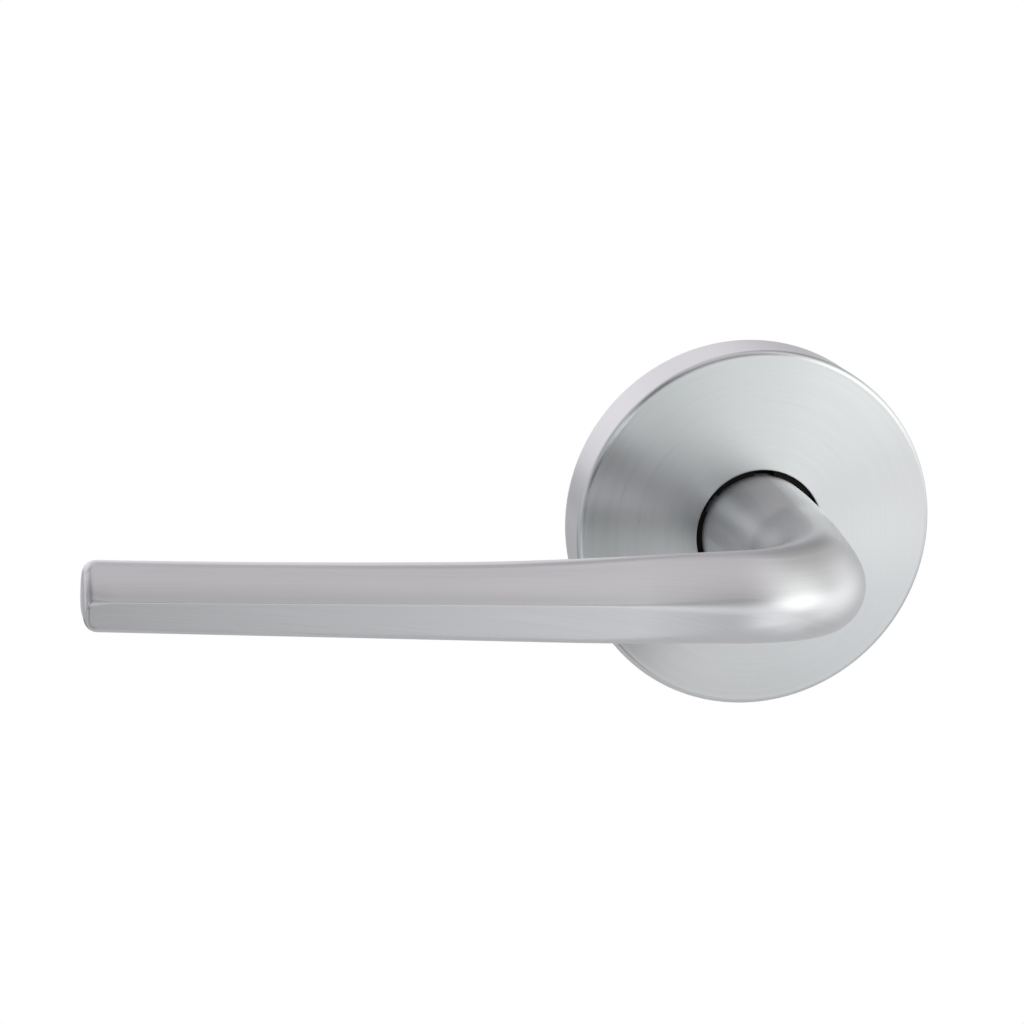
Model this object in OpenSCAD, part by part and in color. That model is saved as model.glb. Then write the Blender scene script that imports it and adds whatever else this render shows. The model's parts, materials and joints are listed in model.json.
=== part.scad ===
// Door lever handle on a round sprung rose, for one face of a door.
//
// Every module is drawn lying on the bench: z is the height above the door face, x points
// away from the grip and y is up the door. stand() then turns it upright, so that the door
// face is the plane Y = 0 and the grip is on its -Y side.

/* [Lever] */
// Distance from the door face to the front facet of the grip, at its root
grip_reach = 66.6; // [62:0.1:72]
// Distance from the turning axis to the tip of the grip
grip_length = 123.2; // [110:0.1:140]
// Radius of the elbow's centre line
elbow_r = 17.6; // [15:0.1:20]
// Diameter of the round neck where it leaves the rose
neck_d = 21; // [20:0.5:22]
// Height of the long ridge above the turning axis
ridge_z = 1.8; // [1:0.1:2.5]
// Angle from the front facet's normal up to the upper facet's normal
facet_angle = 48; // [40:1:55]
// Grip section at its root: front, top, back and bottom distances from the centre line
root_section = [5.0, 7.8, 5.4, 5.1];
// Grip section at its tip: front, top, back and bottom distances from the centre line
tip_section = [4.5, 6.7, 4.5, 3.1];
// How far the grip's top edge dips between its root and its tip
top_waist = 0.65; // [0:0.05:1]
// Edge radii of the grip: ridge, top front, top back, bottom back, bottom front
edge_radii = [0.4, 2.5, 2.5, 2.5, 1.0];
// Length of neck over which the round section starts to turn into the grip's
neck_blend = 28.9; // [20:0.1:30]
// Lengths past the elbow where the body, the top and the bottom reach the grip's section
blend_ends = [17.4, 46, 0];
// Radii of the tip's outline, seen from the front and seen from above
tip_radii = [2.2, 0.9];

/* [Rose] */
// Outer diameter of the rose cover
rose_d = 65; // [60:0.5:70]
// Height of the cover's rim above the door face
rim_h = 10.6; // [10.4:0.1:12]
// Height that the dome would reach on the axis
dome_h = 13.5; // [13.4:0.1:15]
// Radius of the cover's outer edge
rim_fillet = 1.2; // [0.8:0.1:1.6]
// Sheet thickness of the cover
cover_t = 1; // [0.8:0.1:1]
// Diameter of the hole that the neck comes out of
cover_hole_d = 23.2; // [23.2:0.1:24]

/* [Turning parts] */
// Side of the square spindle
spindle_side = 8; // [7:1:8]
// Length of spindle behind the door face
spindle_reach = 58; // [40:1:80]
// Radius of the lever's front journal
journal_r = 9; // [9:0.1:9.2]
// Radius of the lever's rear journal
rear_journal_r = 7.4; // [7.2:0.1:7.5]
// Radial clearance of a running fit
running_gap = 0.05; // [0.02:0.01:0.1]
// Largest turn from rest, either way
turn_limit = 45; // [30:1:45]

/* [Fixings] */
// Distance between the two bolt posts
post_centres = 38; // [38:1:40]
// Outer diameter of a bolt post
post_d = 7.8; // [7.4:0.1:8]
// Length of post behind the door face
post_reach = 9; // [5:1:15]
// Diameter of the through bolts
bolt_d = 4; // [3.5:0.5:4]
// Length of bolt behind the door face
bolt_reach = 34; // [30:1:50]
// Distance of the wood screws from the turning axis
wood_screw_at = 24; // [23.8:0.1:24.2]
// Length of wood screw behind the door face
wood_screw_reach = 20; // [12:1:30]

/* [Return spring] */
// Wire diameter
wire_d = 1.2; // [1:0.1:1.2]
// Mean radius of the coil
coil_r = 12.9; // [12.8:0.1:13]
// Half the distance between the two legs
leg_x = 3; // [2.8:0.1:3.2]
// Distance from the turning axis to the ends of the legs
leg_end = 24.6; // [24:0.1:25]

/* [Hidden] */
$fn = 64;
overshoot = 0.5;  // how far a cutter runs past the face it cuts
seat_gap = 0.05;  // clearance between parts that are assembled and then stay put

// Heights above the door face, from the back of the rose to the front
plate_z = [0.4, 1.6];
rear_end_z = 0.8;
guide_top_z = 5.3;
groove_z = [4.55, 5.55];
cam_z = [5.6, 6.8];
thrust_z = [6.9, 7.5];
bush_rear_z = 7.6;
wall_z = [8.0, 9.6];
flange_front_z = 10.4;
wave_z = [10.45, 10.85];
shoulder_z = 10.9;
nose_front_z = 12.7;

// The base casting, inside the cover
base_r = 30.9;
cavity_r = 28.4;
bush_r = 12;
bead_z = [1.1, 2.2];
bead_t = 0.5;
snap_z = 3;
snap_wire_r = 0.7;

// The lever's centre line: up the neck, round the elbow, along the grip
neck_r = neck_d / 2;
grip_axis_z = grip_reach - root_section[0];
blend_start_z = grip_axis_z - elbow_r - neck_blend;
elbow_arc = elbow_r * PI / 2;
grip_start = neck_blend + elbow_arc;
path_end = grip_start + grip_length - elbow_r;
sweep_inset = 0.06;  // keeps the swept skin inside the exact neck where the two join
neck_overlap = 2;
neck_top_z = blend_start_z + 0.6;
facets = [0, facet_angle, 90, 180, 270];
arc_steps = 5;

// The socket in the lever and its screw
socket_side = spindle_side + 2 * seat_gap;
socket_end_z = 36;
spindle_front_z = 34;
grub_z = 21;
grub_r = 2.9;
grub_tip_r = 1.6;
grub_tip_h = 1;
grub_face = 9.3;
grub_key_r = 1.75;
grub_key_h = 2.9;

// Washers and the circlip
washer_gap = 0.15;  // clearance between a washer and the journal
thrust_r = 12.4;
groove_depth = 0.8;
circlip_r = 9.4;
circlip_mouth = 3;
plier_hole_r = 0.6;
plier_hole_at = 8.1;
plier_hole_spread = 18;

// The two bushes
flange_r = 15;
nose_gap = 0.1;    // between the neck bush's nose and the cover's hole
notch_w = 3.5;     // of the six notches round the nose
rear_bush_r = 9.4;
rear_flange_r = 10.8;
rear_flange_t = 0.8;

// The drive cam and what it works against
cam_r = 11.6;
flat_y = 7.5;
lug_half_w = leg_x - wire_d / 2 - 0.1;
lug_y = [17.4, 19.6];
lug_rear_z = 2.0;
anchor_y = 22.6;
anchor_r = lug_half_w;
stop_arm_w = 7;
stop_arm_end = 17.5;
stop_pin_r = 2;
stop_pin_at = 16;
stop_slack = 0.5;  // degrees between the turn limit and the stop
stop_spread = turn_limit + stop_slack + asin((stop_arm_w / 2 + stop_pin_r) / stop_pin_at);

// The coil: nearly two turns between the two legs
leg_angle = acos(leg_x / coil_r);
coil_sweep = 360 + 2 * leg_angle + 180;
coil_pitch = 1.25;
coil_rear_z = plate_z[1] + 0.2 + wire_d / 2;
coil_rise = coil_pitch * coil_sweep / 360;
guide_r = coil_r - wire_d / 2 - 0.2;
guide_wall = 0.9;

// Screws: each recess is its depth, its reach from the axis and its width
plate_recess = [0.6, 1.2, 0.45];
bolt_recess = [0.9, 2.1, 0.9];
wood_recess = [1, 1.8, 0.8];
plate_screws = [[25.9, 0], [-25.9, 0], [0, -25.4]];
plate_screw_r = 1.25;
plate_screw_head_r = 2.1;
plate_screw_tip_z = 6;
bolt_head_r = 3.5;
bolt_head_t = 1.2;
spigot_r = 2.9;
wood_screw_r = 1.9;
wood_screw_head_r = 3.4;
countersink_h = 1.5;
screw_point_h = 4;
screw_tip_r = 0.2;
step = 0.2;  // how much thinner posts, bolts and screws are where they pass through the rose

function smooth(t) = let (c = min(1, max(0, t))) c * c * (3 - 2 * c);
function mix(a, b, t) = a + (b - a) * t;
function on_circle(r, a) = [r * cos(a), r * sin(a)];

// ---------- shared shapes ----------

// Turns a part from the bench to the door
module stand() rotate([90, 0, 0]) children();

// A disc or tube between two heights
module ring(z, r_out, r_in = 0) {
    difference() {
        translate([0, 0, z[0]]) cylinder(r = r_out, h = z[1] - z[0]);
        if (r_in > 0)
            translate([0, 0, z[0] - overshoot]) cylinder(r = r_in, h = z[1] - z[0] + 2 * overshoot);
    }
}

// A hole between two heights
module drill(z, r) translate([0, 0, z[0]]) cylinder(r = r, h = z[1] - z[0]);

// A cone frustum between two heights
module taper(z, r0, r1) translate([0, 0, z[0]]) cylinder(r1 = r0, r2 = r1, h = z[1] - z[0]);

// Copies at the two bolt posts, and at the four wood screws
module at_posts() for (side = [-1, 1]) translate([side * post_centres / 2, 0, 0]) children();
module at_wood_screws() for (a = [45 : 90 : 315]) rotate(a) translate([wood_screw_at, 0, 0]) children();
module at_plate_screws() for (p = plate_screws) translate([p[0], p[1], 0]) children();
module at_stops()
    for (side = [-1, 1]) rotate(270 + side * stop_spread) translate([stop_pin_at, 0, 0]) children();

// ---------- lever ----------

// Centre line at a distance s along the lever: x, z and the angle turned so far
function path(s) =
    s < neck_blend ? [0, blend_start_z + s, 0]
    : s < grip_start ?
        let (a = 90 * (s - neck_blend) / elbow_arc)
        [-elbow_r * (1 - cos(a)), grip_axis_z - elbow_r * (1 - sin(a)), a]
    : [-elbow_r - (s - grip_start), grip_axis_z, 90];

// How far a rounded end has pulled the surface in, at a distance e before the tip
function tip_inset(e, r) = e < r ? r - sqrt(r * r - (r - e) * (r - e)) : 0;

// The grip's own section at a share u of its length: front, upper facet, top, back, bottom
function grip_section(u, e) =
    let (
        s = mix(root_section, tip_section, u),
        tall = tip_inset(e, tip_radii[0]),
        deep = tip_inset(e, tip_radii[1]),
        upper = s[0] * cos(facet_angle) + ridge_z * sin(facet_angle)
    )
    [
        s[0] - deep,
        upper - (tall + deep) / 2,
        s[1] - 4 * top_waist * u * (1 - u) - tall,
        s[2] - deep,
        s[3] - tall
    ];

// The five facet distances at s, from a circle at the neck to the grip's section
function facet_distances(s) =
    let (
        g = grip_section(max(0, s - grip_start) / (path_end - grip_start), path_end - s),
        ends = [blend_ends[0], blend_ends[0], blend_ends[1], blend_ends[0], blend_ends[2]]
    )
    [for (k = [0 : 4]) mix(neck_r - sweep_inset, g[k], smooth(s / (grip_start + ends[k])))];

function facet_radii(s) =
    let (share = smooth(s / (grip_start + blend_ends[0])))
    [for (r = edge_radii) mix(neck_r - sweep_inset, r, share)];

// The rounded corner between facets a and b, as points across and up the section
function corner(a, b, da, db, r) =
    let (
        turn = sin(b - a),
        cx = ((da - r) * sin(b) - (db - r) * sin(a)) / turn,
        cy = ((db - r) * cos(a) - (da - r) * cos(b)) / turn
    )
    [for (j = [0 : arc_steps]) [cx, cy] + on_circle(r, mix(a, b, j / arc_steps))];

function section(s) =
    let (d = facet_distances(s), r = facet_radii(s))
    [for (k = [0 : 4]) each corner(facets[k], k < 4 ? facets[k + 1] : 360, d[k], d[(k + 1) % 5], r[k])];

function station(s) =
    let (p = path(s))
    [for (q = section(s)) [p[0] + q[0] * cos(p[2]), q[1], p[1] + q[0] * sin(p[2])]];

// Closer together round the elbow and closest at the tip
stations = [
    -neck_overlap,
    for (i = [0 : 5]) neck_blend * i / 6,
    for (i = [0 : 11]) neck_blend + elbow_arc * i / 12,
    for (i = [0 : 12]) mix(grip_start, path_end - tip_radii[0], i / 13),
    for (i = [0 : 7]) path_end - tip_radii[0] * cos(90 * i / 8),
    path_end
];

module swept_grip() {
    points = [for (s = stations) each station(s)];
    n = 5 * (arc_steps + 1);
    last = len(stations) - 1;
    sides = [
        for (i = [0 : last - 1], j = [0 : n - 1])
            let (k = (j + 1) % n)
            each [[i * n + j, i * n + n + j, i * n + n + k], [i * n + j, i * n + n + k, i * n + k]]
    ];
    first_cap = [for (j = [0 : n - 1]) j];
    last_cap = [for (j = [n - 1 : -1 : 0]) last * n + j];
    polyhedron(points, [each sides, first_cap, last_cap], convexity = 4);
}

module lever() color("#b9bcc0") stand() difference() {
    union() {
        swept_grip();
        ring([shoulder_z, neck_top_z], neck_r);
        ring([cam_z[1] + seat_gap, shoulder_z], journal_r);
        intersection() {
            ring([groove_z[1], cam_z[1] + seat_gap], journal_r);
            translate([-journal_r, -flat_y, 0]) cube([2 * journal_r, 2 * flat_y, shoulder_z]);
        }
        ring(groove_z, rear_journal_r - groove_depth);
        ring([rear_end_z, groove_z[0]], rear_journal_r);
    }
    translate([-socket_side / 2, -socket_side / 2, 0]) cube([socket_side, socket_side, socket_end_z]);
    translate([0, 0, grub_z]) rotate([90, 0, 0]) cylinder(r = grub_r + seat_gap, h = neck_r + overshoot);
}

module grub_screw() color("#3a3b3d") stand() translate([0, 0, grub_z]) rotate([90, 0, 0]) difference() {
    union() {
        ring([spindle_side / 2 + seat_gap, spindle_side / 2 + grub_tip_h], grub_tip_r);
        ring([spindle_side / 2 + grub_tip_h, grub_face], grub_r);
    }
    translate([0, 0, grub_face - grub_key_h]) cylinder(r = grub_key_r, h = grub_key_h + overshoot, $fn = 6);
}

module spindle() color("#9a9b9a") stand() {
    corner_cut = 0.8;
    translate([0, 0, -spindle_reach]) linear_extrude(spindle_reach + spindle_front_z) intersection() {
        square(spindle_side, center = true);
        rotate(45) square(spindle_side * sqrt(2) - corner_cut, center = true);
    }
}

// ---------- parts that turn with the lever ----------

module drive_cam() color("#8d8f90") stand() {
    difference() {
        union() {
            ring(cam_z, cam_r);
            translate([-lug_half_w, 0, cam_z[0]]) cube([2 * lug_half_w, lug_y[1], cam_z[1] - cam_z[0]]);
            translate([-stop_arm_w / 2, -stop_arm_end, cam_z[0]])
                cube([stop_arm_w, stop_arm_end, cam_z[1] - cam_z[0]]);
            translate([-lug_half_w, lug_y[0], lug_rear_z])
                cube([2 * lug_half_w, lug_y[1] - lug_y[0], cam_z[1] - lug_rear_z]);
        }
        intersection() {
            drill([cam_z[0] - overshoot, cam_z[1] + overshoot], journal_r + seat_gap);
            translate([-cam_r, -flat_y - seat_gap, 0]) cube([2 * cam_r, 2 * (flat_y + seat_gap), shoulder_z]);
        }
    }
}

module retaining_circlip() color("#55524c") stand() {
    z = [groove_z[0] + seat_gap, groove_z[1] - seat_gap];
    through = [z[0] - overshoot, z[1] + overshoot];
    difference() {
        ring(z, circlip_r, rear_journal_r - groove_depth + seat_gap);
        translate([-circlip_mouth / 2, 0, through[0]])
            cube([circlip_mouth, circlip_r + overshoot, through[1] - through[0]]);
        for (side = [-1, 1])
            rotate(90 + side * plier_hole_spread) translate([plier_hole_at, 0, 0])
                drill(through, plier_hole_r);
    }
}

module thrust_washer() color("#c8a24a") stand() ring(thrust_z, thrust_r, journal_r + washer_gap);

module wave_washer() color("#8d8f90") stand() ring(wave_z, neck_r - 0.2, journal_r + washer_gap);

// ---------- rose ----------

// Height of the dome's outer surface at a radius
dome_span_sq = pow(rose_d / 2 - rim_fillet, 2);
function dome_z(r) = dome_h - (dome_h - rim_h) * r * r / dome_span_sq;

// Points across the dome from the rim to the hole, lowered by t
function dome_points(r_out, r_in, t, steps) =
    [for (i = [0 : steps]) let (r = mix(r_out, r_in, i / steps)) [r, dome_z(r) - t]];

module rose_cover() color("#c4c8c9") stand() {
    rose_r = rose_d / 2;
    hole_r = cover_hole_d / 2;
    inner_r = rose_r - cover_t;
    inner_fillet = 0.4;
    centre = [rose_r - rim_fillet, rim_h - rim_fillet];
    fillet_steps = 6;
    dome_steps = 8;
    rotate_extrude($fn = 128) polygon([
        [rose_r, 0],
        for (i = [0 : fillet_steps]) centre + on_circle(rim_fillet, 85 * i / fillet_steps),
        each dome_points(centre[0], hole_r, 0, dome_steps),
        each [for (p = [dome_steps : -1 : 0])
            let (r = mix(inner_r - inner_fillet, hole_r, p / dome_steps)) [r, dome_z(r) - cover_t]],
        [inner_r, dome_z(inner_r) - cover_t - inner_fillet],
        [inner_r, bead_z[1]],
        [inner_r - bead_t, bead_z[1] - bead_t],
        [inner_r - bead_t, bead_z[0] + bead_t / 2],
        [inner_r, bead_z[0] - bead_t / 2],
        [inner_r, 0]
    ]);
}

module snap_ring() color("#8d8f90") stand()
    translate([0, 0, snap_z]) rotate(-80) rotate_extrude(angle = 340, $fn = 128)
        translate([base_r - 0.4, 0]) circle(r = snap_wire_r, $fn = 24);

module mounting_base() color("#a3a5a6") stand() {
    rim_chamfer = 1;
    boss_r = 3.3;
    plate_boss_r = 2.3;
    difference() {
        union() {
            ring([0, wall_z[1] - rim_chamfer], base_r, cavity_r);
            ring([wall_z[0], wall_z[1] - rim_chamfer], cavity_r + overshoot);
            taper([wall_z[1] - rim_chamfer, wall_z[1]], base_r, base_r - rim_chamfer);
            at_wood_screws() drill([plate_z[1], wall_z[0] + overshoot], boss_r);
            at_plate_screws() drill([plate_z[1], wall_z[0] + overshoot], plate_boss_r);
        }
        drill([0, wall_z[1] + overshoot], bush_r + seat_gap);
        at_posts() drill([0, wall_z[1] + overshoot], spigot_r + seat_gap);
        at_wood_screws() {
            drill([0, wall_z[1] + overshoot], wood_screw_r + 0.2);
            taper([wall_z[1] - countersink_h, wall_z[1] + 0.1],
                wood_screw_r + 0.2, wood_screw_head_r + 0.3);
        }
        at_plate_screws() drill([0, plate_screw_tip_z + 0.2], plate_screw_r + seat_gap);
        translate([0, anchor_y, 0]) drill([0, wall_z[1] + overshoot], anchor_r + seat_gap);
        at_stops() drill([0, wall_z[1] + overshoot], stop_pin_r + seat_gap);
        difference() {
            ring([snap_z - 0.8, snap_z + 0.8], base_r + overshoot);
            drill([0, wall_z[1]], base_r - 1.2);
        }
    }
}

module neck_bush() color("#1d1b19") stand() difference() {
    union() {
        ring([bush_rear_z, wall_z[1]], bush_r);
        ring([wall_z[1], flange_front_z], flange_r);
        ring([flange_front_z, nose_front_z], cover_hole_d / 2 - nose_gap);
    }
    drill([bush_rear_z - overshoot, nose_front_z], journal_r + running_gap);
    drill([flange_front_z, nose_front_z + overshoot], neck_r + washer_gap);
    for (a = [30 : 60 : 330])
        rotate(a) translate([neck_r, -notch_w / 2, flange_front_z])
            cube([cover_hole_d / 2 - neck_r, notch_w, nose_front_z - flange_front_z + overshoot]);
}

// ---------- return spring and stops ----------

// Centre line of the wire: up one leg, round the coil, up the other leg
function coil_point(t) =
    let (a = 180 - leg_angle + coil_sweep * t)
    [coil_r * cos(a), coil_r * sin(a), coil_rear_z + coil_rise * t];

// Two directions across the wire where it runs from p to q
function wire_frame(p, q) = let (side = cross(q - p, [0, 0, 1])) [side / norm(side), [0, 0, 1]];

module return_spring() color("#6f7172") stand() {
    coil_steps = 44;
    leg_steps = [0.25, 0.6, 1];
    sides = 8;
    first = coil_point(0);
    final = coil_point(1);
    line = [
        for (k = [2 : -1 : 0]) [first[0], mix(first[1], leg_end, leg_steps[k]), first[2]],
        for (i = [0 : coil_steps]) coil_point(i / coil_steps),
        for (k = leg_steps) [final[0], mix(final[1], leg_end, k), final[2]]
    ];
    last = len(line) - 1;
    points = [
        for (i = [0 : last])
            let (f = wire_frame(line[max(0, i - 1)], line[min(last, i + 1)]))
            for (j = [0 : sides - 1])
                line[i] + wire_d / 2 * (cos(360 * j / sides) * f[0] + sin(360 * j / sides) * f[1])
    ];
    skin = [
        for (i = [0 : last - 1], j = [0 : sides - 1])
            let (a = i * sides + j, b = i * sides + (j + 1) % sides)
            each [[a, b, b + sides], [a, b + sides, a + sides]]
    ];
    first_cap = [for (j = [sides - 1 : -1 : 0]) j];
    last_cap = [for (j = [0 : sides - 1]) last * sides + j];
    polyhedron(points, [each skin, first_cap, last_cap], convexity = 6);
}

module spring_guide() color("#e6e3da") stand()
    ring([plate_z[1], guide_top_z], guide_r, guide_r - guide_wall);

module spring_anchor_pin() color("#77797a") stand()
    translate([0, anchor_y, 0]) ring([plate_z[1] + 0.1, wall_z[1]], anchor_r);

module stop_pins() color("#77797a") stand() at_stops() ring([cam_z[0] - 0.1, wall_z[1]], stop_pin_r);

// ---------- back of the rose ----------

module back_plate() color("#9fa3a6") stand() difference() {
    ring(plate_z, cavity_r - 0.2, rear_bush_r + seat_gap);
    at_posts() drill([0, plate_z[1] + overshoot], post_d / 2 + 0.2);
    at_wood_screws() drill([0, plate_z[1] + overshoot], wood_screw_r + 0.4);
    at_plate_screws() {
        drill([0, plate_z[1] + overshoot], plate_screw_r + 0.1);
        taper([plate_z[0] - 0.1, plate_z[1] - 0.2], plate_screw_head_r + 0.2, plate_screw_r + 0.1);
    }
}

module rear_bush() color("#e6e3da") stand() difference() {
    union() {
        ring(plate_z, rear_bush_r);
        ring([plate_z[1], plate_z[1] + rear_flange_t], rear_flange_r);
    }
    drill([0, plate_z[1] + rear_flange_t + overshoot], rear_journal_r + running_gap);
}

module back_plate_screws() color("#b8babb") stand() at_plate_screws() difference() {
    union() {
        taper([plate_z[0], plate_z[1] - 0.3], plate_screw_head_r, plate_screw_r);
        drill([plate_z[0] + 0.5, plate_screw_tip_z], plate_screw_r);
    }
    cross_recess([plate_z[0] - overshoot, plate_z[0] + plate_recess[0]], plate_recess[1], plate_recess[2]);
}

// A cross recess cut between two heights
module cross_recess(z, reach, w)
    for (a = [0, 90]) rotate(a) translate([-reach, -w / 2, z[0]]) cube([2 * reach, w, z[1] - z[0]]);

module bolt_posts() color("#a9abac") stand() at_posts() difference() {
    union() {
        ring([-post_reach, 0], post_d / 2);
        ring([0, wall_z[0]], post_d / 2 - step);
        ring([wall_z[0], wall_z[1]], spigot_r);
    }
    drill([-post_reach - overshoot, wall_z[1] + overshoot], bolt_d / 2 + 0.15);
}

module through_bolts() color("#b8babb") stand() at_posts() difference() {
    union() {
        drill([-bolt_reach, -post_reach], bolt_d / 2);
        drill([-post_reach, wall_z[1]], bolt_d / 2 - step / 2);
        drill([wall_z[1], wall_z[1] + bolt_head_t], bolt_head_r);
    }
    top = wall_z[1] + bolt_head_t;
    cross_recess([top - bolt_recess[0], top + overshoot], bolt_recess[1], bolt_recess[2]);
}

module wood_screws() color("#b8babb") stand() at_wood_screws() difference() {
    union() {
        taper([wall_z[1] - countersink_h, wall_z[1]], wood_screw_r, wood_screw_head_r);
        drill([0, wall_z[1] - countersink_h], wood_screw_r - step);
        drill([screw_point_h - wood_screw_reach, 0], wood_screw_r);
        taper([-wood_screw_reach, screw_point_h - wood_screw_reach], screw_tip_r, wood_screw_r);
    }
    cross_recess([wall_z[1] - wood_recess[0], wall_z[1] + overshoot], wood_recess[1], wood_recess[2]);
}

lever();
grub_screw();
spindle();
drive_cam();
retaining_circlip();
thrust_washer();
wave_washer();
rose_cover();
snap_ring();
mounting_base();
neck_bush();
rear_bush();
return_spring();
spring_guide();
spring_anchor_pin();
stop_pins();
back_plate();
back_plate_screws();
bolt_posts();
through_bolts();
wood_screws();
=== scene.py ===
"""Looks for a satin door lever handle on a sprung round rose."""

import json
import math

import bmesh
import bpy
import numpy as np
from mathutils import Matrix, Vector


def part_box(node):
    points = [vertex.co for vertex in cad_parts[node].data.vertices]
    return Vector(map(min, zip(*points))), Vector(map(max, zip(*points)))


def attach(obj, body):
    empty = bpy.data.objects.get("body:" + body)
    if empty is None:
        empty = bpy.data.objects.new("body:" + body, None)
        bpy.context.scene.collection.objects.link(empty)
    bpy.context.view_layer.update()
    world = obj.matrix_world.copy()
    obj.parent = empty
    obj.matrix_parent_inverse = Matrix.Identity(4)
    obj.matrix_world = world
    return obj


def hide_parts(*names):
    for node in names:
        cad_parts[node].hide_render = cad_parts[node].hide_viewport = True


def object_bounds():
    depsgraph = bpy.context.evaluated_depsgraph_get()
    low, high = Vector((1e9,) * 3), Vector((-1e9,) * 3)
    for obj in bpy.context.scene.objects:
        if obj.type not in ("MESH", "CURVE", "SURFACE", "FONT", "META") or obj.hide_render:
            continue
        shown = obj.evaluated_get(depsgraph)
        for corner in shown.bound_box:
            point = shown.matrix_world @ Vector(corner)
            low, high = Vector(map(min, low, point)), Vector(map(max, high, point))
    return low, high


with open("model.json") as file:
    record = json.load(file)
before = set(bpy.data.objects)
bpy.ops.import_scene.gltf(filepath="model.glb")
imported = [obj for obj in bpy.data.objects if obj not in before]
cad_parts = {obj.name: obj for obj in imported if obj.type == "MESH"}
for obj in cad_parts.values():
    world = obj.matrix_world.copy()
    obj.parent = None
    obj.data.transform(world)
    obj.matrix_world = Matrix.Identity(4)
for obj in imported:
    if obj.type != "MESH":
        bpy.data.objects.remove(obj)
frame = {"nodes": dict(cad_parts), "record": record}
cad_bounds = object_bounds()

MM = 0.001

# ---------- driving dimensions, in mm ----------

# The lever, as the CAD part has it. Sections are front, top, back and bottom distances from the grip's
# centre line. EDGE_RADII starts at the ridge and BLEND_ENDS at the front, and both go on over the top.
NECK_R = 10.5
ELBOW_R = 17.6
RIDGE_Z = 1.8
FACET_ANGLE = math.radians(48)
ROOT_SECTION = np.array([5.0, 7.8, 5.4, 5.1])
TIP_SECTION = np.array([4.5, 6.7, 4.5, 3.1])
TOP_WAIST = 0.65
EDGE_RADII = np.array([0.4, 2.5, 2.5, 2.5, 1.0])
NECK_BLEND = 28.9
BLEND_ENDS = np.array([17.4, 17.4, 46.0, 17.4, 0.0])
TIP_RADII = (2.2, 0.9)
GRIP_REACH = 66.6
GRIP_LENGTH = -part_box("lever")[0][0] / MM
JOURNAL_R = 9.0
REAR_JOURNAL_R = 7.4
FLAT_Y = 7.5
SOCKET_HALF = 4.05
SOCKET_END = 36.0
REAR_END = 0.8
GROOVE = (4.55, 5.55)
GROOVE_DEPTH = 0.8
CAM_FRONT = 6.85
SHOULDER = 10.9
GRUB_Z = 21.0
GRUB_HOLE_R = 2.95

# The rose cover, as the CAD part has it
ROSE_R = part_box("rose_cover")[1][0] / MM
RIM_H = 10.6
DOME_H = 13.5
RIM_FILLET = 1.2
SHEET = 1.0
HOLE_R = 11.6
INNER_CHAMFER = 0.4
BEAD = (1.1, 2.2)
BEAD_T = 0.5

# Only the visible lever has these: how far past the elbow each edge reaches its grip radius, the length
# over which the bend eases in and out, and the crowns of the upper face and of the end.
EDGE_BLEND_ENDS = np.array([34.0, 17.4, 17.4, 17.4, 30.0])
ELBOW_EASE = 9.0
UPPER_CROWN = 0.25
END_CROWN = 0.15

# The blur of its section round the elbow, the least that counts, and where it comes in and goes out
ELBOW_SOFTNESS = 1.0
LEAST_SOFTNESS = 0.05
ELBOW_SOFT_IN = 18.0
ELBOW_SOFT_OUT = (56.0, 76.0)

# The ridge's extra rounding at the tip, the length over which it grows, and where the hairlines turn
RIDGE_TIP_R = 1.8
RIDGE_TIP_LENGTH = 5.0
TURN_GRAIN = (14.0, 26.0)

# Only the visible cover has these: its rounded edges at the foot and at the hole
FOOT_R = 0.25
LIP_R = 0.15

# Worked out from those
GRIP_AXIS = GRIP_REACH - ROOT_SECTION[0]
BLEND_START = GRIP_AXIS - ELBOW_R - NECK_BLEND
ELBOW_ARC = ELBOW_R * math.pi / 2
GRIP_START = NECK_BLEND + ELBOW_ARC
PATH_END = GRIP_START + GRIP_LENGTH - ELBOW_R
FACETS = np.array([0.0, FACET_ANGLE, math.pi / 2, math.pi, 1.5 * math.pi, 2 * math.pi])

# How finely the skins are made: points along each edge and face of a section, rings along each stretch,
# and steps round the cover. Edges sharper than SHARP_ANGLE degrees aren't smoothed.
EDGE_POINTS = 13
FACE_POINTS = 7
NECK_RINGS = 60
ELBOW_RINGS = 90
GRIP_RINGS = 170
TIP_RINGS = 37
END_RINGS = 10
ROSE_SEGMENTS = 360
SHARP_ANGLE = 32


def stand(p):
    """Bench millimetres (z above the door) to the frame's metres (-Y above the door)."""
    p = np.asarray(p, float)
    return np.stack([p[..., 0], -p[..., 2], p[..., 1]], axis=-1) * MM


# ---------- nodes and materials ----------

# Hairline pattern, in repeats per millimetre along and across the brushing
HAIR_ALONG = 0.05
HAIR_ACROSS = 7.0

# Anisotropy where a turned surface is brushed across, as the lever's neck is
TURNED_ANISOTROPY = 0.85


def new_material(name):
    """A material, its nodes and links, and its Principled shader."""
    mat = bpy.data.materials.new(name)
    mat.use_nodes = True
    nodes = mat.node_tree.nodes
    return mat, nodes, mat.node_tree.links, nodes["Principled BSDF"]


def add(nodes, kind, **values):
    """A new node with its sockets or settings given by name."""
    node = nodes.new(kind)
    for key, value in values.items():
        if key in node.inputs:
            node.inputs[key].default_value = value
        else:
            setattr(node, key, value)
    return node


def ramp(nodes, links, source, low, high, out_low, out_high):
    """A value mapped from one range to another and clamped."""
    node = add(nodes, "ShaderNodeMapRange")
    links.new(source, node.inputs["Value"])
    for key, value in zip(("From Min", "From Max", "To Min", "To Max"), (low, high, out_low, out_high)):
        node.inputs[key].default_value = value
    return node.outputs["Result"]


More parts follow.
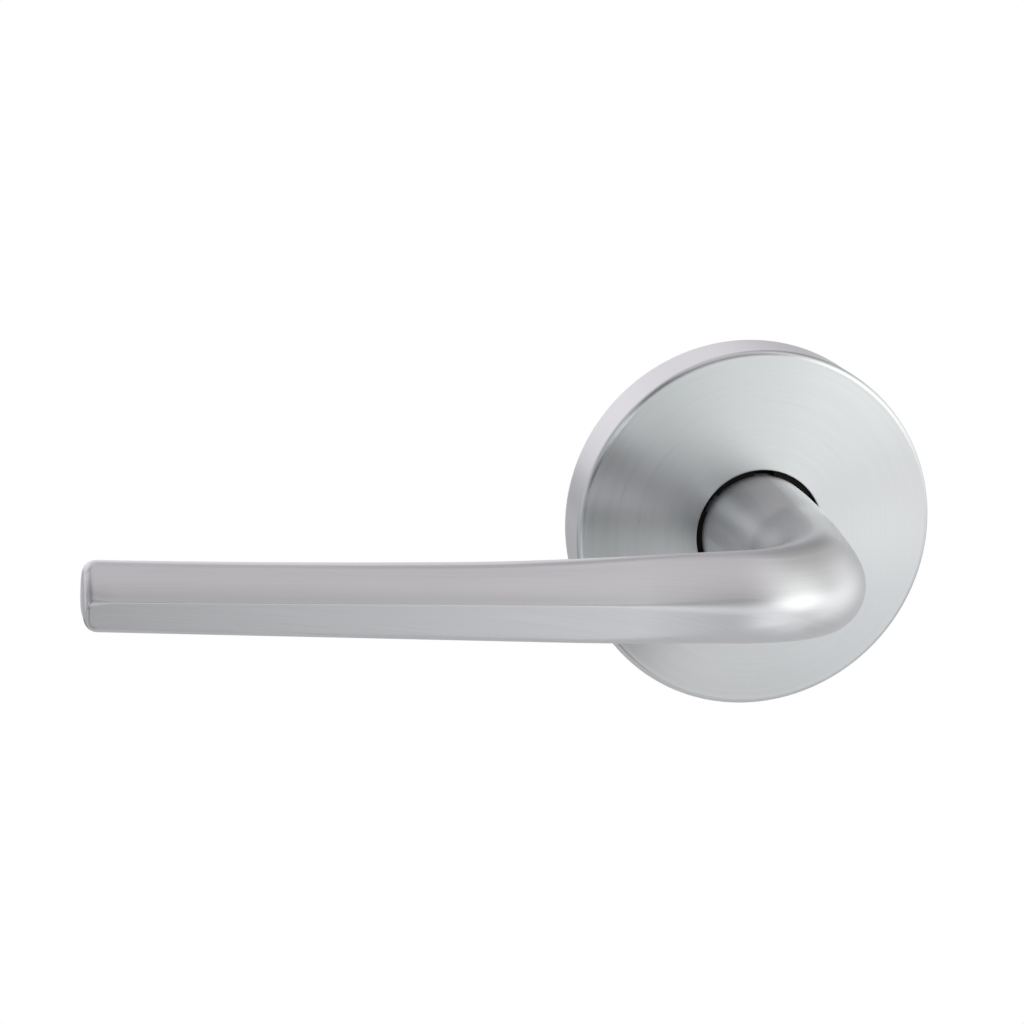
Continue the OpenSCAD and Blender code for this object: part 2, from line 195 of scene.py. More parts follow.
def tinted(nodes, links, factor, dark, light):
    """A colour between two colours."""
    node = add(nodes, "ShaderNodeMix", data_type="RGBA")
    links.new(factor, node.inputs["Factor"])
    node.inputs["A"].default_value = (*dark, 1)
    node.inputs["B"].default_value = (*light, 1)
    return node.outputs["Result"]


def brushed_chrome(name, dark, light, roughness, anisotropy, depth, turned=False):
    """Satin chrome with hairlines along the mesh's grain attribute.

    The brush attribute holds millimetres along the hairlines, then across them. Where turned is set,
    its third number is the share of the surface brushed that way, and the rest is brushed across.
    """
    mat, nodes, links, shader = new_material(name)
    brush = add(nodes, "ShaderNodeAttribute", attribute_name="brush")

    def streaks(scale, detail):
        """Noise with a scale of its own for each of the brush's three numbers."""
        lines = add(nodes, "ShaderNodeMapping", Scale=scale)
        links.new(brush.outputs["Vector"], lines.inputs["Vector"])
        noise = add(nodes, "ShaderNodeTexNoise", Scale=1.0, Detail=detail, Roughness=0.6)
        links.new(lines.outputs["Vector"], noise.inputs["Vector"])
        return noise.outputs["Fac"]

    third = 0.0 if turned else HAIR_ALONG
    hair = streaks((HAIR_ALONG, HAIR_ACROSS, third), 4.0)
    bands = streaks((HAIR_ALONG / 3, HAIR_ACROSS / 6, third / 3), 3.0)
    if turned:
        parts = add(nodes, "ShaderNodeSeparateXYZ")
        links.new(brush.outputs["Vector"], parts.inputs["Vector"])
        across = streaks((HAIR_ACROSS, HAIR_ALONG, 0.0), 4.0)
        both = add(nodes, "ShaderNodeMix", data_type="FLOAT")
        links.new(parts.outputs["Z"], both.inputs["Factor"])
        links.new(across, both.inputs["A"])
        links.new(hair, both.inputs["B"])
        hair = both.outputs["Result"]
    place = add(nodes, "ShaderNodeTexCoord")
    cloud = add(nodes, "ShaderNodeTexNoise", Scale=38.0, Detail=3.0, Roughness=0.5)
    links.new(place.outputs["Object"], cloud.inputs["Vector"])

    mixed = add(nodes, "ShaderNodeMath", operation="MULTIPLY_ADD")
    links.new(bands, mixed.inputs[0])
    mixed.inputs[1].default_value = 0.5
    links.new(hair, mixed.inputs[2])
    links.new(tinted(nodes, links, ramp(nodes, links, mixed.outputs[0], 0.5, 1.0, 0, 1), dark, light),
              shader.inputs["Base Color"])
    rough = add(nodes, "ShaderNodeMath", operation="ADD")
    streaky = ramp(nodes, links, mixed.outputs[0], 0.5, 1.0, roughness * 0.93, roughness * 1.07)
    links.new(streaky, rough.inputs[0])
    links.new(ramp(nodes, links, cloud.outputs["Fac"], 0.35, 0.65, -0.01, 0.01), rough.inputs[1])
    links.new(rough.outputs[0], shader.inputs["Roughness"])
    bump = add(nodes, "ShaderNodeBump", Strength=1.0, Distance=depth)
    links.new(hair, bump.inputs["Height"])
    links.new(bump.outputs["Normal"], shader.inputs["Normal"])

    grain = add(nodes, "ShaderNodeAttribute", attribute_name="grain")
    world = add(nodes, "ShaderNodeVectorTransform", vector_type="VECTOR",
                convert_from="OBJECT", convert_to="WORLD")
    links.new(grain.outputs["Vector"], world.inputs["Vector"])
    links.new(world.outputs["Vector"], shader.inputs["Tangent"])
    shader.inputs["Metallic"].default_value = 1.0
    shader.inputs["Anisotropic"].default_value = anisotropy
    if turned:
        links.new(ramp(nodes, links, parts.outputs["Z"], 0, 1, TURNED_ANISOTROPY, anisotropy),
                  shader.inputs["Anisotropic"])
    shader.inputs["Anisotropic Rotation"].default_value = 0.25
    return mat


def plain_metal(name, dark, light, roughness, scale=400.0, depth=0.00002, stretch=(1, 1, 1)):
    """Metal with fine scratches, patches of tarnish and a slightly uneven surface."""
    mat, nodes, links, shader = new_material(name)
    place = add(nodes, "ShaderNodeTexCoord")
    stretched = add(nodes, "ShaderNodeMapping", Scale=stretch)
    links.new(place.outputs["Object"], stretched.inputs["Vector"])
    fine = add(nodes, "ShaderNodeTexNoise", Scale=scale, Detail=5.0, Roughness=0.6)
    links.new(stretched.outputs["Vector"], fine.inputs["Vector"])
    patch = add(nodes, "ShaderNodeTexNoise", Scale=scale * 0.12, Detail=4.0, Roughness=0.55)
    links.new(place.outputs["Object"], patch.inputs["Vector"])
    links.new(tinted(nodes, links, ramp(nodes, links, patch.outputs["Fac"], 0.35, 0.65, 0, 1), dark, light),
              shader.inputs["Base Color"])
    links.new(ramp(nodes, links, fine.outputs["Fac"], 0.3, 0.7, roughness * 0.8, roughness * 1.2),
              shader.inputs["Roughness"])
    bump = add(nodes, "ShaderNodeBump", Strength=1.0, Distance=depth)
    links.new(fine.outputs["Fac"], bump.inputs["Height"])
    links.new(bump.outputs["Normal"], shader.inputs["Normal"])
    shader.inputs["Metallic"].default_value = 1.0
    return mat


def nylon(name, dark, light, roughness, gloss=0.5):
    """Moulded plastic with a fine spark-eroded texture."""
    mat, nodes, links, shader = new_material(name)
    place = add(nodes, "ShaderNodeTexCoord")
    grit = add(nodes, "ShaderNodeTexNoise", Scale=2500.0, Detail=3.0, Roughness=0.6)
    links.new(place.outputs["Object"], grit.inputs["Vector"])
    cloud = add(nodes, "ShaderNodeTexNoise", Scale=120.0, Detail=3.0, Roughness=0.5)
    links.new(place.outputs["Object"], cloud.inputs["Vector"])
    links.new(tinted(nodes, links, ramp(nodes, links, cloud.outputs["Fac"], 0.35, 0.65, 0, 1), dark, light),
              shader.inputs["Base Color"])
    links.new(ramp(nodes, links, grit.outputs["Fac"], 0.3, 0.7, roughness * 0.85, roughness * 1.15),
              shader.inputs["Roughness"])
    shader.inputs["Specular IOR Level"].default_value = gloss
    bump = add(nodes, "ShaderNodeBump", Strength=1.0, Distance=0.00001)
    links.new(grit.outputs["Fac"], bump.inputs["Height"])
    links.new(bump.outputs["Normal"], shader.inputs["Normal"])
    return mat


# ---------- mesh helpers ----------

def make_object(name, verts, faces, attributes=()):
    """A mesh object from frame-metre vertices, with vector attributes per vertex."""
    mesh = bpy.data.meshes.new(name)
    mesh.from_pydata([tuple(v) for v in verts], [], [tuple(f) for f in faces])
    for key, values in dict(attributes).items():
        layer = mesh.attributes.new(key, "FLOAT_VECTOR", "POINT")
        layer.data.foreach_set("vector", np.asarray(values, np.float32).ravel())
    obj = bpy.data.objects.new(name, mesh)
    bpy.context.scene.collection.objects.link(obj)
    return obj


def weld(obj, distance=2e-7):
    """Merges coincident points and turns every face outward."""
    bm = bmesh.new()
    bm.from_mesh(obj.data)
    bmesh.ops.remove_doubles(bm, verts=bm.verts, dist=distance)
    bmesh.ops.recalc_face_normals(bm, faces=bm.faces)
    bm.to_mesh(obj.data)
    bm.free()


def smooth_by_angle(obj, degrees):
    """Smooth faces, with edges sharper than an angle kept sharp."""
    obj.data.shade_smooth()
    obj.data.set_sharp_from_angle(angle=math.radians(degrees))


def apply_modifiers(obj):
    """Makes what an object's modifiers give its own mesh."""
    deps = bpy.context.evaluated_depsgraph_get()
    done = bpy.data.meshes.new_from_object(obj.evaluated_get(deps))
    obj.modifiers.clear()
    obj.data = done


def tube_faces(rings, points, closed=False):
    """Quads between consecutive rings of points, and from the last ring to the first where closed."""
    faces = []
    for i in range(rings if closed else rings - 1):
        low = i * points
        high = (i + 1) % rings * points
        for j in range(points):
            k = (j + 1) % points
            faces.append((low + j, low + k, high + k, high + j))
    return faces


# ---------- lever ----------

def smooth_step(t):
    """0 below t = 0 and 1 above t = 1, with a smooth rise between."""
    t = np.clip(t, 0, 1)
    return t * t * (3 - 2 * t)


def eased_turn(s, start, length, ease):
    """The angle turned at each s, from 0 to a right angle, with the curvature eased in and out.

    Two moving averages, each half the ease wide, do the easing.
    """
    step = s[1] - s[0]
    turn = np.clip((s - start) / length, 0, 1) * math.pi / 2
    half = int(ease / 4 / step)
    window = 2 * half + 1
    for _ in range(2):
        total = np.concatenate([[0], np.cumsum(np.pad(turn, half, mode="edge"))])
        turn = (total[window:] - total[:-window]) / window
    return turn


def centre_line():
    """Position and angle at each step along the lever: up the neck, round the elbow, along the grip.

    Easing makes the elbow reach further, so its arc is shortened to match.
    """
    step = 0.02
    spare = 10.0
    s = np.arange(-spare, PATH_END + spare, step)
    turn = eased_turn(s, NECK_BLEND, ELBOW_ARC, ELBOW_EASE)
    whole = np.sum(np.sin(turn)[s < GRIP_START + ELBOW_EASE]) * step
    shrink = ELBOW_R / (whole - ELBOW_EASE)
    turn = eased_turn(s, NECK_BLEND + (1 - shrink) * ELBOW_ARC / 2, ELBOW_ARC * shrink, ELBOW_EASE)
    x = -np.cumsum(np.sin(turn)) * step
    z = BLEND_START - spare + np.cumsum(np.cos(turn)) * step
    return s - np.interp(PATH_END, s, x) - GRIP_LENGTH, x, z + GRIP_AXIS - z[-1], turn


LINE = centre_line()


def path(s):
    """Centre line at s along the lever: x, height above the door, angle turned."""
    return tuple(float(np.interp(s, LINE[0], column)) for column in LINE[1:])


def tip_inset(e, r):
    """How far an edge rounded to radius r has come in at a distance e before its end."""
    return r - math.sqrt(max(0.0, r * r - (r - e) ** 2)) if e < r else 0.0


def facet_distances(s):
    """How far the front, upper, top, back and bottom faces are from the centre line at s."""
    u = max(0.0, s - GRIP_START) / (PATH_END - GRIP_START)
    front, top, back, bottom = ROOT_SECTION + (TIP_SECTION - ROOT_SECTION) * u
    tall, deep, between = (tip_inset(PATH_END - END_CROWN - s, r) for r in (*TIP_RADII, sum(TIP_RADII) / 2))
    upper = front * math.cos(FACET_ANGLE) + RIDGE_Z * math.sin(FACET_ANGLE)
    grip = np.array([front - deep, upper - between,
                     top - 4 * TOP_WAIST * u * (1 - u) - tall, back - deep, bottom - tall])
    share = smooth_step(s / (GRIP_START + BLEND_ENDS))
    return NECK_R + (grip - NECK_R) * share


def section(s):
    """Points round the section at s (across, up) and the direction each one faces."""
    d = facet_distances(s)
    sides = len(d)
    radii = NECK_R + (EDGE_RADII - NECK_R) * smooth_step(s / (GRIP_START + EDGE_BLEND_ENDS))
    radii[0] += RIDGE_TIP_R * smooth_step((s - PATH_END + RIDGE_TIP_LENGTH) / RIDGE_TIP_LENGTH)
    crown = UPPER_CROWN * smooth_step(s / GRIP_START)
    corners = []
    for k in range(sides):
        a, b, r = FACETS[k], FACETS[k + 1], radii[k]
        da, db = d[k] - r, d[(k + 1) % sides] - r
        turn = math.sin(b - a)
        centre = np.array([(da * math.sin(b) - db * math.sin(a)) / turn,
                           (db * math.cos(a) - da * math.cos(b)) / turn])
        t = np.linspace(a, b, EDGE_POINTS)
        corners.append((centre + r * np.stack([np.cos(t), np.sin(t)], axis=1), t))
    points, facing = [], []
    for k in range(sides):
        edge, t = corners[k]
        start = corners[(k + 1) % sides][0][0]
        points.append(edge)
        facing.append(t)
        f = np.arange(1, FACE_POINTS + 1)[:, None] / (FACE_POINTS + 1)
        bulge = 4 * f * (1 - f) * (crown if k == 0 else 0.0)
        outward = np.array([math.cos(t[-1]), math.sin(t[-1])])
        points.append(edge[-1] * (1 - f) + start * f + bulge * outward)
        facing.append(np.full(FACE_POINTS, t[-1]))
    return soften(np.vstack(points), s), np.concatenate(facing)


def soften(points, s):
    """Rounds off what is left of the facets' edges where the neck turns into the grip.

    The outline is blurred, but its middle and its main size stay, and it stays in the box it filled.
    """
    fade_in = smooth_step(s / ELBOW_SOFT_IN)
    fade_out = smooth_step((ELBOW_SOFT_OUT[1] - s) / (ELBOW_SOFT_OUT[1] - ELBOW_SOFT_OUT[0]))
    sigma = ELBOW_SOFTNESS * fade_in * fade_out
    if sigma < LEAST_SOFTNESS:
        return points
    closed = np.vstack([points, points[:1]])
    at = np.concatenate([[0], np.cumsum(np.linalg.norm(np.diff(closed, axis=0), axis=1))])
    count = 256
    even = np.arange(count) * at[-1] / count
    waves = np.fft.fftfreq(count, at[-1] / count)
    blur = np.exp(-2 * (math.pi * sigma * waves) ** 2)
    blur = blur / blur[1]
    blur[0] = 1.0
    smoothed = [np.fft.ifft(np.fft.fft(np.interp(even, at, closed[:, k])) * blur).real for k in (0, 1)]
    softened = np.stack([np.interp(at[:-1], even, row, period=at[-1]) for row in smoothed], axis=1)
    return np.clip(softened, points.min(axis=0), points.max(axis=0))


def lever_stations():
    """Where the rings of the neck, elbow, grip and tip are along the lever.

    The shoulder is looked up in the line's first quarter, where its height still rises.
    """
    s, _, height, _ = LINE
    rising = slice(len(s) // 4)
    shoulder = np.interp(SHOULDER, height[rising], s[rising])
    tip = TIP_RADII[0]
    return np.concatenate([
        np.linspace(shoulder, NECK_BLEND, NECK_RINGS, endpoint=False),
        np.linspace(NECK_BLEND, GRIP_START, ELBOW_RINGS, endpoint=False),
        np.linspace(GRIP_START, PATH_END - END_CROWN - tip, GRIP_RINGS, endpoint=False),
        PATH_END - END_CROWN - tip * (0.5 + 0.5 * np.cos(np.linspace(0, math.pi, TIP_RINGS))),
    ])


def lever_mesh():
    """The casting as one closed skin: socket, hub, neck, elbow, grip and tip.

    Hairlines run round the neck and along the grip, and turn from one to the other before the elbow.
    """
    rings, grain, brush = [], [], []
    tiny = 1e-9

    def add_ring(points, direction, along, around):
        """Adds a ring, with hairlines round it before they turn and along the direction after."""
        share = smooth_step((along - TURN_GRAIN[0]) / (TURN_GRAIN[1] - TURN_GRAIN[0]))
        ahead = np.roll(points, -1, axis=0) - np.roll(points, 1, axis=0)
        ahead = ahead / (np.linalg.norm(ahead, axis=1)[:, None] + tiny)
        rings.append(points)
        grain.append(ahead * (1 - share) + np.asarray(direction) * share)
        brush.append(np.stack([np.full(len(points), along), around, np.full(len(points), share)], axis=1))

    _, facing = section(0.0)
    circle = np.stack([np.cos(facing), np.sin(facing)], axis=1)
    square = circle / np.abs(circle).max(axis=1)[:, None]

    def hub_ring(xy, height):
        """Adds a ring round the turning axis at a height above the door."""
        points = np.column_stack([xy, np.full(len(xy), height)])
        add_ring(points, (0, 0, 1), height - BLEND_START, facing * JOURNAL_R)

    point_r = 1e-3
    hub_ring(circle * point_r, SOCKET_END)
    for height in (SOCKET_END, REAR_END):
        hub_ring(square * SOCKET_HALF, height)
    flats = circle * JOURNAL_R
    flats[:, 1] = np.clip(flats[:, 1], -FLAT_Y, FLAT_Y)
    for xy, low, high in ((circle * REAR_JOURNAL_R, REAR_END, GROOVE[0]),
                          (circle * (REAR_JOURNAL_R - GROOVE_DEPTH), GROOVE[0], GROOVE[1]),
                          (flats, GROOVE[1], CAM_FRONT),
                          (circle * JOURNAL_R, CAM_FRONT, SHOULDER)):
        hub_ring(xy, low)
        hub_ring(xy, high)
    for s in lever_stations():
        x, z, a = path(s)
        q, _ = section(s)
        points = np.stack([x + q[:, 0] * math.cos(a), q[:, 1], z + q[:, 0] * math.sin(a)], axis=1)
        steps = np.linalg.norm(np.diff(q, axis=0, prepend=q[:1]), axis=1)
        add_ring(points, (-math.sin(a), 0, math.cos(a)), s, np.cumsum(steps))
    rim = rings[-1]
    middle = rim.mean(axis=0)
    rim_angle, middle_angle = 6, 89.9
    for size in np.cos(np.radians(np.linspace(rim_angle, middle_angle, END_RINGS))):
        cap = middle + (rim - middle) * size
        cap[:, 0] -= END_CROWN * (1 - size ** 2)
        add_ring(cap, (0, 1, 0), PATH_END, brush[-1][:, 1])

    n = len(facing)
    verts = stand(np.concatenate(rings))
    faces = tube_faces(len(rings), n)
    faces += [tuple(range(n)), tuple(range((len(rings) - 1) * n, len(rings) * n))]
    obj = make_object("lever_skin", verts, faces,
                      {"grain": stand(np.concatenate(grain)) / MM, "brush": np.concatenate(brush)})
    weld(obj)
    return obj


def drill_grub_hole(obj):
    """Drills the grub screw's hole up into the socket, from below the neck."""
    low, high = -12, -4
    bpy.ops.mesh.primitive_cylinder_add(
        vertices=64, radius=GRUB_HOLE_R * MM, depth=(high - low) * MM,
        location=(0, -GRUB_Z * MM, (low + high) / 2 * MM))
    cutter = bpy.context.object
    cut = obj.modifiers.new("grub_hole", "BOOLEAN")
    cut.operation, cut.solver, cut.object = "DIFFERENCE", "EXACT", cutter
    apply_modifiers(obj)
    bpy.data.objects.remove(cutter)


# ---------- rose cover ----------

def dome(r):
    """Height of the cover's domed face at a radius."""
    return DOME_H - (DOME_H - RIM_H) * (r / (ROSE_R - RIM_FILLET)) ** 2


def arc(cx, cz, r, a0, a1, steps):
    """Points round a centre from one angle to another, in degrees."""
    t = np.radians(np.linspace(a0, a1, steps))
    return np.stack([cx + r * np.cos(t), cz + r * np.sin(t)], axis=1)


def lathe(name, profile, segments):
    """A closed profile of (radius, height) turned about the lever's axis, brushed round it.

    The brush runs round a circle of radius wrap, in mm, so that the hairlines meet where they close.
    """
    profile = np.asarray(profile, float)
    t = np.linspace(0, 2 * math.pi, segments, endpoint=False)
    cos, sin = np.cos(t), np.sin(t)
    r, z = profile[:, 0], profile[:, 1]
    points = np.stack([np.outer(r, cos), np.outer(r, sin), np.repeat(z[:, None], segments, 1)], axis=-1)
    grain = np.broadcast_to(np.stack([-sin, cos, np.zeros(segments)], axis=1), points.shape)
    run = np.concatenate([[0], np.cumsum(np.linalg.norm(np.diff(profile, axis=0), axis=1))])
    wrap = 30.0
    brush = np.stack([
        np.broadcast_to(cos * wrap, points.shape[:2]),
        np.repeat(run[:, None], segments, 1),
        np.broadcast_to(sin * wrap, points.shape[:2]),
    ], axis=-1)
    obj = make_object(name, stand(points.reshape(-1, 3)), tube_faces(len(profile), segments, closed=True),
                      {"grain": stand(grain.reshape(-1, 3)) / MM, "brush": brush.reshape(-1, 3)})
    weld(obj)
    return obj


def rose_profile():
    """The cover's section: up the wall, over the rim and dome to the hole, and back down inside."""
    inner_r = ROSE_R - SHEET
    foot_corner = 0.07
    fillet_end = 80
    wall_start, wall_spare = 1.0, 0.3
    wall = np.linspace(wall_start, RIM_H - RIM_FILLET - wall_spare, 8)
    fillet = arc(ROSE_R - RIM_FILLET, RIM_H - RIM_FILLET, RIM_FILLET, 0, fillet_end, 12)
    lip_top = dome(HOLE_R + LIP_R)
    outer = [(r, dome(r)) for r in np.linspace(ROSE_R - RIM_FILLET, HOLE_R + LIP_R, 60)]
    inner = [(r, dome(r) - SHEET) for r in np.linspace(HOLE_R, inner_r - INNER_CHAMFER, 20)]
    return [
        (ROSE_R - FOOT_R, 0), (ROSE_R - foot_corner, foot_corner), (ROSE_R, FOOT_R),
        *[(ROSE_R, z) for z in wall],
        *fillet, *outer, *arc(HOLE_R + LIP_R, lip_top - LIP_R, LIP_R, 100, 180, 6),
        *inner, (inner_r, dome(inner_r) - SHEET - INNER_CHAMFER), (inner_r, BEAD[1]),
        (inner_r - BEAD_T, BEAD[1] - BEAD_T), (inner_r - BEAD_T, BEAD[0] + BEAD_T / 2),
        (inner_r, BEAD[0] - BEAD_T / 2), (inner_r, 0),
    ]


# ---------- build ----------

satin_lever = brushed_chrome("satin_chrome_lever", (0.575, 0.58, 0.595), (0.645, 0.65, 0.665),
                             roughness=0.37, anisotropy=0.45, depth=0.0000014, turned=True)
satin_rose = brushed_chrome("satin_chrome_rose", (0.595, 0.61, 0.615), (0.645, 0.66, 0.665),
                            roughness=0.30, anisotropy=0.85, depth=0.0000010)

lever = lever_mesh()
drill_grub_hole(lever)
smooth_by_angle(lever, SHARP_ANGLE)
lever.data.materials.clear()
lever.data.materials.append(satin_lever)
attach(lever, "handle")
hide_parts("lever")

rose = lathe("rose_skin", rose_profile(), ROSE_SEGMENTS)
smooth_by_angle(rose, SHARP_ANGLE)
rose.data.materials.append(satin_rose)
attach(rose, "rose")
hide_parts("rose_cover")

# The other parts' materials: dark and light colours, roughness, and what else one has
NODE_MATERIALS = {
    "black_nylon": nylon("black_nylon", (0.003, 0.002, 0.001), (0.006, 0.004, 0.002), 0.6, gloss=0.12),
    "white_nylon": nylon("white_nylon", (0.72, 0.70, 0.64), (0.80, 0.78, 0.72), 0.45),
    "bright_steel": plain_metal("bright_steel", (0.50, 0.50, 0.49), (0.62, 0.62, 0.61), 0.28,
                                stretch=(1, 0.08, 1)),
    "pressed_steel": plain_metal("pressed_steel", (0.52, 0.54, 0.56), (0.62, 0.63, 0.66), 0.36),
    "spring_steel": plain_metal("spring_steel", (0.20, 0.20, 0.21), (0.30, 0.30, 0.31), 0.35),
    "zinc_plated_steel": plain_metal("zinc_plated_steel", (0.58, 0.61, 0.66), (0.70, 0.72, 0.75), 0.25),
    "bronze": plain_metal("bronze", (0.50, 0.34, 0.17), (0.62, 0.44, 0.24), 0.3),
    "cast_zinc": plain_metal("cast_zinc", (0.40, 0.41, 0.42), (0.50, 0.51, 0.52), 0.5,
                             scale=900.0, depth=0.00006),
    "black_steel": plain_metal("black_steel", (0.03, 0.03, 0.032), (0.06, 0.06, 0.062), 0.4),
}
for part in frame["record"]["subparts"]:
    material = NODE_MATERIALS.get(part["material_slot"])
    if material:
        for material_slot in frame["nodes"][part["node"]].material_slots:
            material_slot.material = material

# ---------- floor, light, camera ----------

# The floor, in metres: how far below the object it is, its radius, and how wide and deep its rim is
FLOOR_DROP = 1.0
FLOOR_R = 0.9
FLOOR_EDGE = 0.02

SOFTBOXES = {
    "ceiling": (20, 86, 14, 34, (0.80, 0.755, 0.78)),
    "left": (-58, 26, 5, 19, (1.25, 1.29, 1.32)),
    "upper_left": (-90, 52, 6, 28, (0.26, 0.25, 0.26)),
    "far_left": (-122, 18, 12, 48, (0.36, 0.36, 0.38)),
    "behind_left": (-160, 30, 18, 54, (0.88, 0.85, 0.88)),
    "behind": (178, 8, 10, 35, (0.50, 0.46, 0.50)),
    "right": (80, 25, 3, 62, (0.82, 0.81, 0.79)),
    "right_key": (56, 28, 8, 30, (1.15, 1.19, 1.16)),
    "front": (-4, 14, 0, 40, (0.86, 0.89, 0.89)),
    "front_right": (34, 6, 8, 35, (0.62, 0.61, 0.61)),
    "over_camera": (-22, 12, 3, 8, (2.0, 2.05, 2.1)),
    "beside_mirror": (27, -15, 4, 20, (0.36, 0.37, 0.38)),
    "low_front": (32, -34, 22, 31, (0.73, 0.73, 0.74)),
    "upper_right": (66, 50, 6, 24, (0.20, 0.20, 0.20)),
    "low_right": (114, -24, 40, 63, (0.67, 0.67, 0.68)),
    "low_left": (-88, -24, 26, 52, (0.56, 0.57, 0.59)),
    "low_beside": (-34, -28, 8, 24, (0.85, 0.87, 0.88)),
    "behind_low": (-172, -26, 8, 24, (0.75, 0.72, 0.74)),
}

# Black flags that cut the light along an arc: the azimuth and elevation of its two ends, half the flag's
# width, the angle from the arc's middle at which it has faded out, and how much of the light it stops.
FLAGS = {
    "beside_camera": (((2, -10), (-52, 3)), 7.5, 36, 1.0),
    "above_it": (((-6, -1), (-52, 16)), 5, 30, 0.5),
    "behind_edge": (((-150, -6), (-176, -9)), 4, 18, 0.8),
}

# A flag's soft edge, as shares of its half width, and its soft ends, as a rise in the cosine
FLAG_EDGE = (0.7, 1.3)
FLAG_FADE = 0.12


def toward(azimuth, elevation):
    """The direction of an azimuth and an elevation, with azimuth 0 in front of the door."""
    a, e = math.radians(azimuth), math.radians(elevation)
    return Vector((math.sin(a) * math.cos(e), -math.cos(a) * math.cos(e), math.sin(e)))


def closeness(nodes, links, coords, direction):
    """The cosine of the angle between the way that light comes from and a direction."""
    dot = add(nodes, "ShaderNodeVectorMath", operation="DOT_PRODUCT")
    links.new(coords.outputs["Generated"], dot.inputs[0])
    dot.inputs[1].default_value = direction
    return dot.outputs["Value"]


def covered(nodes, links, factor, below, colour):
    """A colour that turns into another as the factor goes from 0 to 1."""
    node = add(nodes, "ShaderNodeMix", data_type="RGBA")
    links.new(factor, node.inputs["Factor"])
    links.new(below, node.inputs["A"])
    node.inputs["B"].default_value = (*colour, 1)
    return node.outputs["Result"]


def studio_world():
    """Softboxes for the object, and plain white behind it for the camera."""
    world = bpy.data.worlds.new("studio")
    bpy.context.scene.world = world
    world.use_nodes = True
    nodes, links = world.node_tree.nodes, world.node_tree.links
    coords = add(nodes, "ShaderNodeTexCoord")
    total = None
    for azimuth, elevation, lit, faded, colour in SOFTBOXES.values():
        close = closeness(nodes, links, coords, toward(azimuth, elevation))
        fade = add(nodes, "ShaderNodeMapRange", interpolation_type="SMOOTHSTEP")
        links.new(close, fade.inputs["Value"])
        fade.inputs["From Min"].default_value = math.cos(math.radians(faded))
        fade.inputs["From Max"].default_value = math.cos(math.radians(lit))
        glow = add(nodes, "ShaderNodeVectorMath", operation="MULTIPLY_ADD")
        links.new(fade.outputs["Result"], glow.inputs[0])
        glow.inputs[1].default_value = colour
        if total is not None:
            links.new(total, glow.inputs[2])
        total = glow.outputs["Vector"]
    for (start, end), half_width, reach, depth in FLAGS.values():
        start, end = toward(*start), toward(*end)
        across = closeness(nodes, links, coords, start.cross(end).normalized())
        off = add(nodes, "ShaderNodeMath", operation="ABSOLUTE")
        links.new(across, off.inputs[0])
        along = closeness(nodes, links, coords, ((start + end) / 2).normalized())
        edge = math.sin(math.radians(half_width))
        tail = math.cos(math.radians(reach))
        band = ramp(nodes, links, off.outputs[0], edge * FLAG_EDGE[0], edge * FLAG_EDGE[1], 1.0, 0.0)
        span = ramp(nodes, links, along, tail, tail + FLAG_FADE, 0.0, depth)
        shade = add(nodes, "ShaderNodeMath", operation="MULTIPLY")
        links.new(band, shade.inputs[0])
        links.new(span, shade.inputs[1])
        total = covered(nodes, links, shade.outputs[0], total, (0.0, 0.0, 0.0))
    seen = add(nodes, "ShaderNodeLightPath")
    final = covered(nodes, links, seen.outputs["Is Camera Ray"], total, (1.0, 1.0, 1.0))
    links.new(final, nodes["Background"].inputs["Color"])


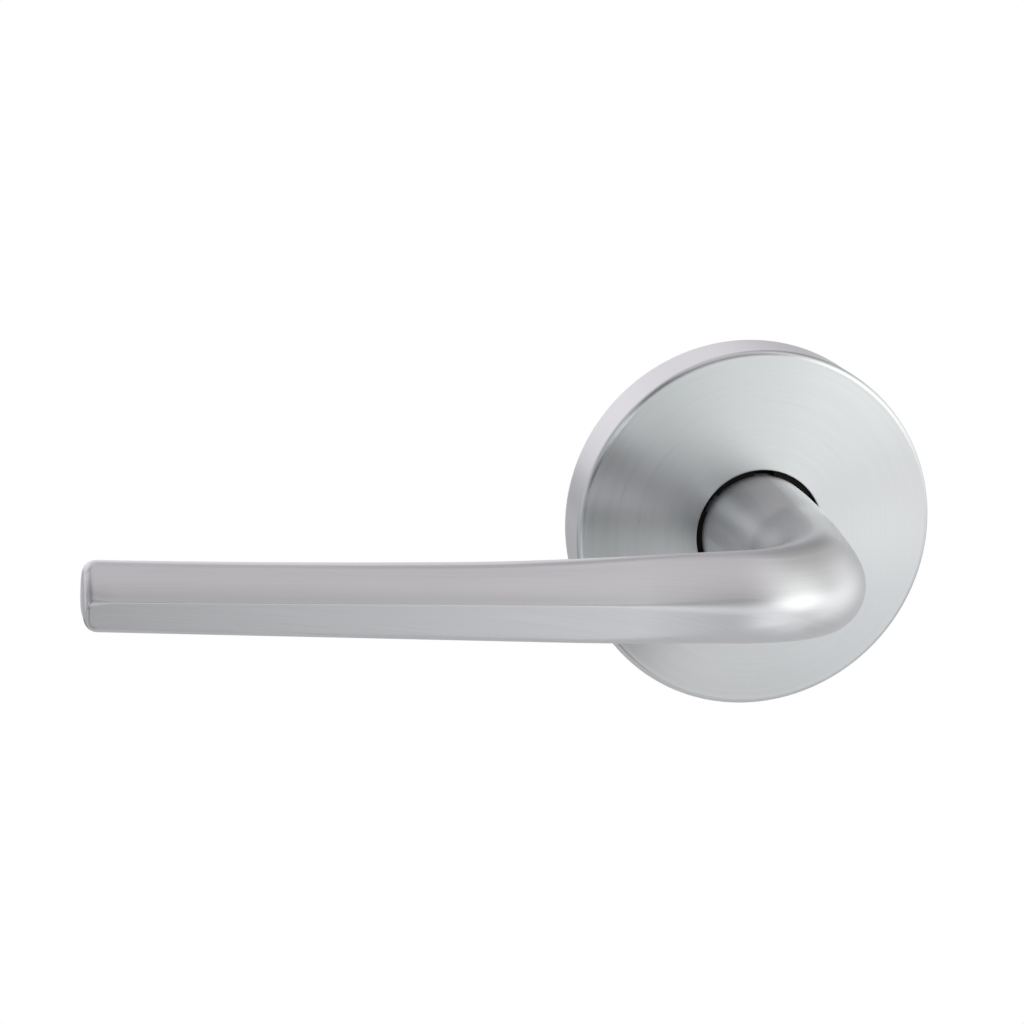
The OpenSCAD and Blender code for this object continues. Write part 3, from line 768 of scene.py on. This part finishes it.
def pale_floor():
    """A round pale floor with a softened rim, as far below as a door's is."""
    bm = bmesh.new()
    bmesh.ops.create_circle(bm, cap_ends=True, segments=96, radius=FLOOR_R)
    rim = [e for e in bm.edges if e.is_boundary]
    lowered = bmesh.ops.extrude_edge_only(bm, edges=rim)["geom"]
    for v in (g for g in lowered if isinstance(g, bmesh.types.BMVert)):
        v.co += Vector((v.co.x, v.co.y, 0)).normalized() * FLOOR_EDGE + Vector((0, 0, -FLOOR_EDGE))
    mesh = bpy.data.meshes.new("floor")
    bm.to_mesh(mesh)
    bm.free()
    floor = bpy.data.objects.new("floor", mesh)
    floor.location = (0, 0, cad_bounds[0][2] - FLOOR_DROP)
    bpy.context.scene.collection.objects.link(floor)

    mat, nodes, links, shader = new_material("pale_floor")
    place = add(nodes, "ShaderNodeTexCoord")
    cloud = add(nodes, "ShaderNodeTexNoise", Scale=3.0, Detail=4.0, Roughness=0.5)
    links.new(place.outputs["Object"], cloud.inputs["Vector"])
    links.new(tinted(nodes, links, cloud.outputs["Fac"], (0.86, 0.86, 0.86), (0.92, 0.92, 0.92)),
              shader.inputs["Base Color"])
    shader.inputs["Roughness"].default_value = 0.8
    floor.data.materials.append(mat)


studio_world()
pale_floor()

# The camera stands up and to the left, and is rolled so that the grip lies level in the frame. Angles
# are in degrees, the lens and its sensor's width in millimetres, and distances in metres.
CAMERA_AZIMUTH = -12.99
CAMERA_ELEVATION = 13.77
CAMERA_ROLL = 3.83
CAMERA_DISTANCE = 0.550
CAMERA_LENS = 106.56
CAMERA_SENSOR = 36.0
CAMERA_CLIP = (0.01, 50.0)
AIM_LEFT = 0.04123
AIM_UP = 0.00064


def place_camera():
    """The camera, turned about the view's own axis by its roll and moved sideways and up by its aim."""
    azimuth = math.radians(CAMERA_AZIMUTH)
    roll = math.radians(CAMERA_ROLL)
    back = toward(CAMERA_AZIMUTH, CAMERA_ELEVATION)
    right = Vector((math.cos(azimuth), math.sin(azimuth), 0))
    up = back.cross(right)
    right, up = right * math.cos(roll) + up * math.sin(roll), up * math.cos(roll) - right * math.sin(roll)
    data = bpy.data.cameras.new("camera")
    data.lens, data.sensor_width = CAMERA_LENS, CAMERA_SENSOR
    data.clip_start, data.clip_end = CAMERA_CLIP
    camera = bpy.data.objects.new("camera", data)
    bpy.context.scene.collection.objects.link(camera)
    place = Matrix.Translation(back * CAMERA_DISTANCE - right * AIM_LEFT + up * AIM_UP)
    camera.matrix_world = place @ Matrix((right, up, back)).transposed().to_4x4()
    bpy.context.scene.camera = camera


place_camera()
bpy.context.scene.view_settings.view_transform = "Standard"
